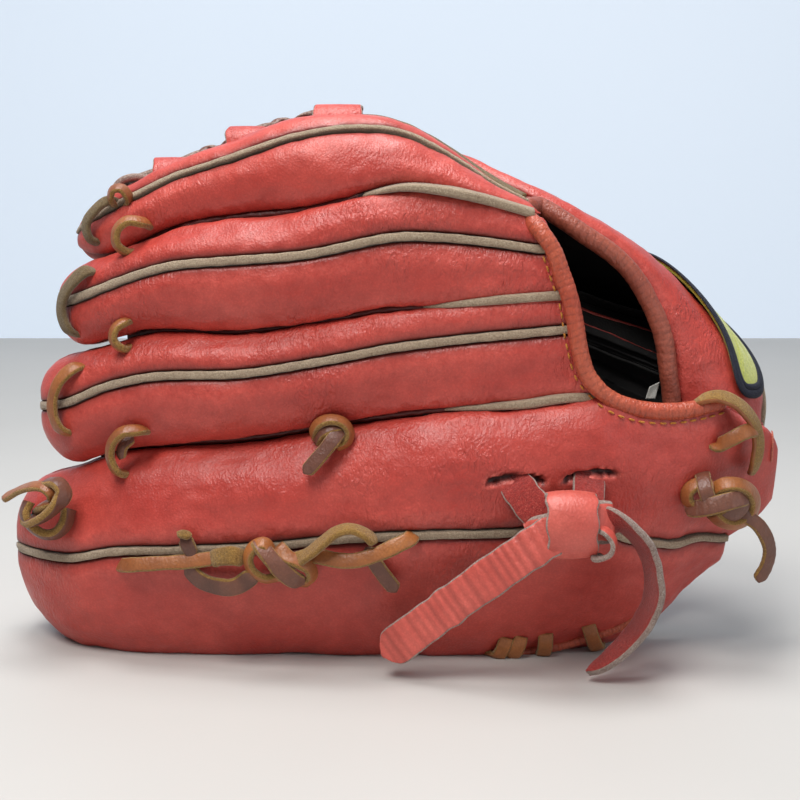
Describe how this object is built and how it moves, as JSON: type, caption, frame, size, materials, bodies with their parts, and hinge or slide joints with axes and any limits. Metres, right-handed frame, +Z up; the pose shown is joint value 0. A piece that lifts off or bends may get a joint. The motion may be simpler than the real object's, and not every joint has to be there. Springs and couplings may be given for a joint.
{
  "type": "baseball glove",
  "caption": "Left-hand fielder's glove standing on its little-finger side: laced fingers, thumb, web, open back and wrist strap, folding along its pocket.",
  "frame": {"origin": "middle of the base of the box round the glove, on the surface it stands on", "axes": "+X from the fingertips to the wrist, +Y from the back of the hand to the palm, +Z up"},
  "size_m": [0.325, 0.1502, 0.2219],
  "materials": {
    "leather": "supple red steer hide with a fine pebble grain, semi-matt, darker in the folds",
    "welt": "undyed greyish tan strip with a fuzzy cut face",
    "binding": "rolled edge in a slightly browner red leather",
    "lace": "tan rawhide lace, shiny brown grain side and pale suede edges",
    "lining": "black inner leather, matt",
    "padding": "pale wool felt",
    "stiffener": "thin moulded plastic strip",
    "patch": "embroidered navy border with a yellow-green field, no lettering",
    "tag": "small blank woven tag"
  },
  "bodies": {
    "finger_side": {"pinky_back_lower_panel": "leather", "pinky_back_upper_panel": "leather", "pinky_ridge_welt": "welt", "ring_back_lower_panel": "leather", "ring_back_upper_panel": "leather", "ring_ridge_welt": "welt", "middle_back_lower_panel": "leather", "middle_back_upper_panel": "leather", "middle_ridge_welt": "welt", "index_back_lower_panel": "leather", "index_back_upper_panel": "leather", "index_ridge_welt": "welt", "pinky_ring_short_welt": "welt", "ring_middle_short_welt": "welt", "middle_index_short_welt": "welt", "palm_shell": "leather", "palm_lining": "lining", "back_lining": "lining", "palm_pad": "padding", "pinky_heel_pad": "padding", "pinky_stiffener": "stiffener", "web_index_band_1": "leather", "web_index_band_2": "leather", "web_index_band_3": "leather", "web_index_band_4": "leather", "web_index_long_band": "leather", "opening_binding": "binding", "ring_tip_lace": "lace", "middle_tip_lace": "lace", "index_tip_lace": "lace", "index_middle_lace": "lace", "middle_ring_lace": "lace", "ring_pinky_lace": "lace", "ring_pinky_knot": "lace", "pinky_tip_knot": "lace", "pinky_side_lace": "lace", "wrist_lace": "lace", "wrist_knot": "lace", "heel_lace": "lace", "heel_rim": "binding", "size_tag": "tag", "web_index_lace": "lace", "adjusting_strap": "leather", "adjusting_strap_loop": "leather"},
    "thumb_side": {"thumb_back_inner_panel": "leather", "thumb_back_outer_panel": "leather", "thumb_ridge_welt": "welt", "thumb_palm_shell": "leather", "thumb_lining": "lining", "thumb_heel_pad": "padding", "thumb_stiffener": "stiffener", "emblem_patch": "patch", "web_thumb_band_1": "leather", "web_thumb_band_2": "leather", "web_thumb_band_3": "leather", "web_thumb_band_4": "leather", "web_thumb_long_band": "leather", "thumb_edge_roll": "binding", "web_thumb_lace": "lace"}
  },
  "joints": [
    {"name": "pocket_close", "type": "hinge", "parent": "finger_side", "child": "thumb_side", "pos_m": [0.14121, -0.01424, 0.115], "axis": [-0.9184, 0.1724, 0.3561], "range_deg": [-3, 15]}
  ]
}
